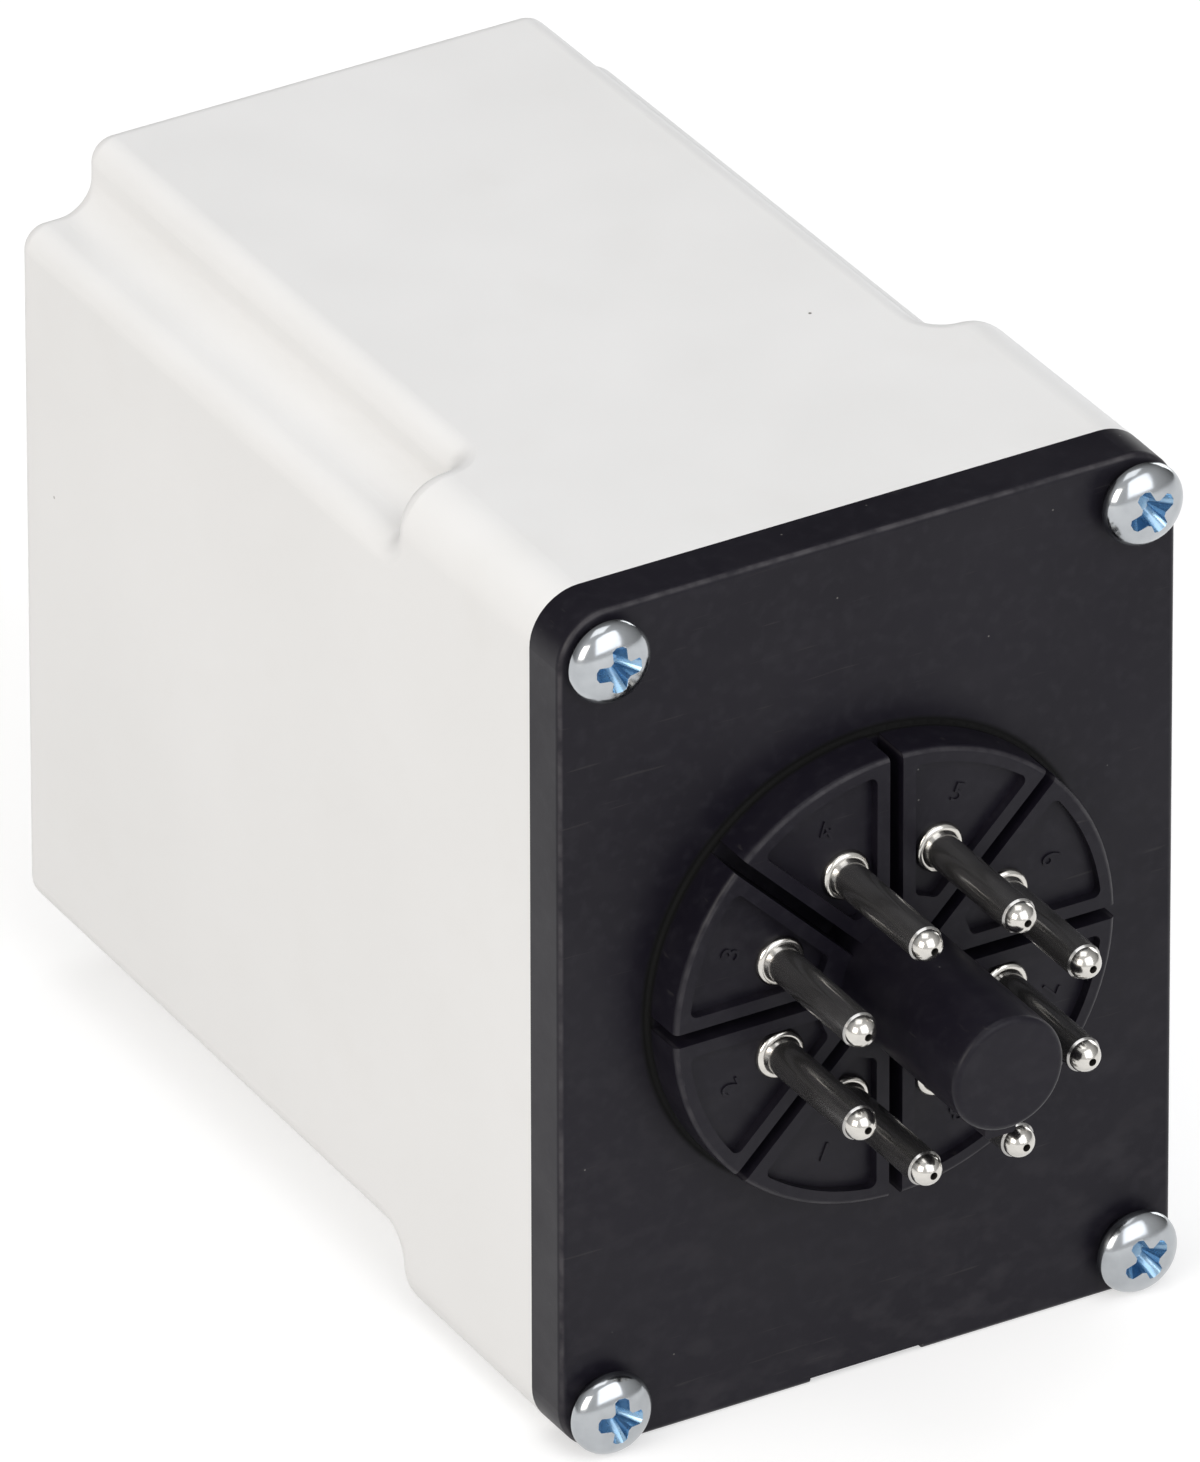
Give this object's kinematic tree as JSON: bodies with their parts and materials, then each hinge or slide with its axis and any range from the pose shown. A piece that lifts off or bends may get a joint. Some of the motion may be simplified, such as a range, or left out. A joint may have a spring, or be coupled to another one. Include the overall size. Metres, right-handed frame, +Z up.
{
  "type": "alternating relay",
  "caption": "Plug-in alternating relay in a notched white moulded casing, with a black base plate that carries a slotted disc, a keyed post, plug pins and corner screws.",
  "frame": {"origin": "centre of the pin circle, on the front face of the plug disc", "axes": "the pins and the keyed post point along -Y and the casing runs along +Y, X crosses the narrow side, +Z is up with the part lying on the narrow side that the key points to"},
  "size_m": [0.0442, 0.0894, 0.0602],
  "materials": {
    "white_shell": "satin, moulded",
    "black_moulding": "fine satin",
    "nickel": "bright nickel plate",
    "zinc": "bright zinc plate",
    "wire_sleeve": "smooth sleeve",
    "board": "board laminate with lacquer",
    "relay_moulding": "moulded",
    "bobbin": "moulded, natural",
    "steel": "plated soft iron",
    "winding": "enamelled copper wire",
    "contact_metal": "sprung contact strip",
    "spring_steel": "spring strip",
    "black_plastic": "moulded",
    "lamp": "clear coloured",
    "film_case": "dipped",
    "can_sleeve": "sleeved can",
    "resistor_body": "lacquered"
  },
  "bodies": {
    "housing": {"casing": "white_shell", "base_plate": "black_moulding", "pin_1": "nickel", "pin_2": "nickel", "pin_3": "nickel", "pin_4": "nickel", "pin_5": "nickel", "pin_6": "nickel", "pin_7": "nickel", "pin_8": "nickel", "base_screws": "zinc", "lead_wire_1": "wire_sleeve", "lead_wire_2": "wire_sleeve", "lead_wire_3": "wire_sleeve", "lead_wire_4": "wire_sleeve", "lead_wire_5": "wire_sleeve", "lead_wire_6": "wire_sleeve", "lead_wire_7": "wire_sleeve", "lead_wire_8": "wire_sleeve", "main_board": "board", "front_board": "board", "relay_base": "relay_moulding", "relay_bobbin": "bobbin", "relay_yoke": "steel", "relay_core": "steel", "relay_coil": "winding", "no_contact_a": "contact_metal", "no_contact_b": "contact_metal", "nc_contact_a": "contact_metal", "nc_contact_b": "contact_metal", "com_lead_a": "contact_metal", "com_lead_b": "contact_metal", "return_spring": "spring_steel", "selector_pin": "spring_steel", "selector_body": "black_plastic", "logic_chip": "black_plastic", "driver_transistor": "black_plastic", "diode_1": "black_plastic", "diode_2": "black_plastic", "diode_3": "black_plastic", "diode_4": "black_plastic", "led_a": "lamp", "led_b": "lamp", "dropper_capacitor": "film_case", "smoothing_capacitor": "can_sleeve", "varistor": "can_sleeve", "resistor_1": "resistor_body", "resistor_2": "resistor_body", "resistor_3": "resistor_body"},
    "armature": {"relay_armature": "steel", "contact_carrier": "bobbin", "moving_blade_a": "contact_metal", "moving_blade_b": "contact_metal"},
    "selector": {"selector_lever": "black_plastic"}
  },
  "joints": [
    {"name": "armature_hinge", "type": "hinge", "parent": "housing", "child": "armature", "pos_m": [0.01153, 0.0481, 0], "axis": [0, 0, -1], "range_deg": [0, 3.4], "stiffness_Nm_per_rad": 0.01, "springref_deg": -3.44},
    {"name": "selector_pivot", "type": "hinge", "parent": "housing", "child": "selector", "pos_m": [0, 0.066, 0], "axis": [1, 0, 0], "range_deg": [-12, 12]}
  ]
}
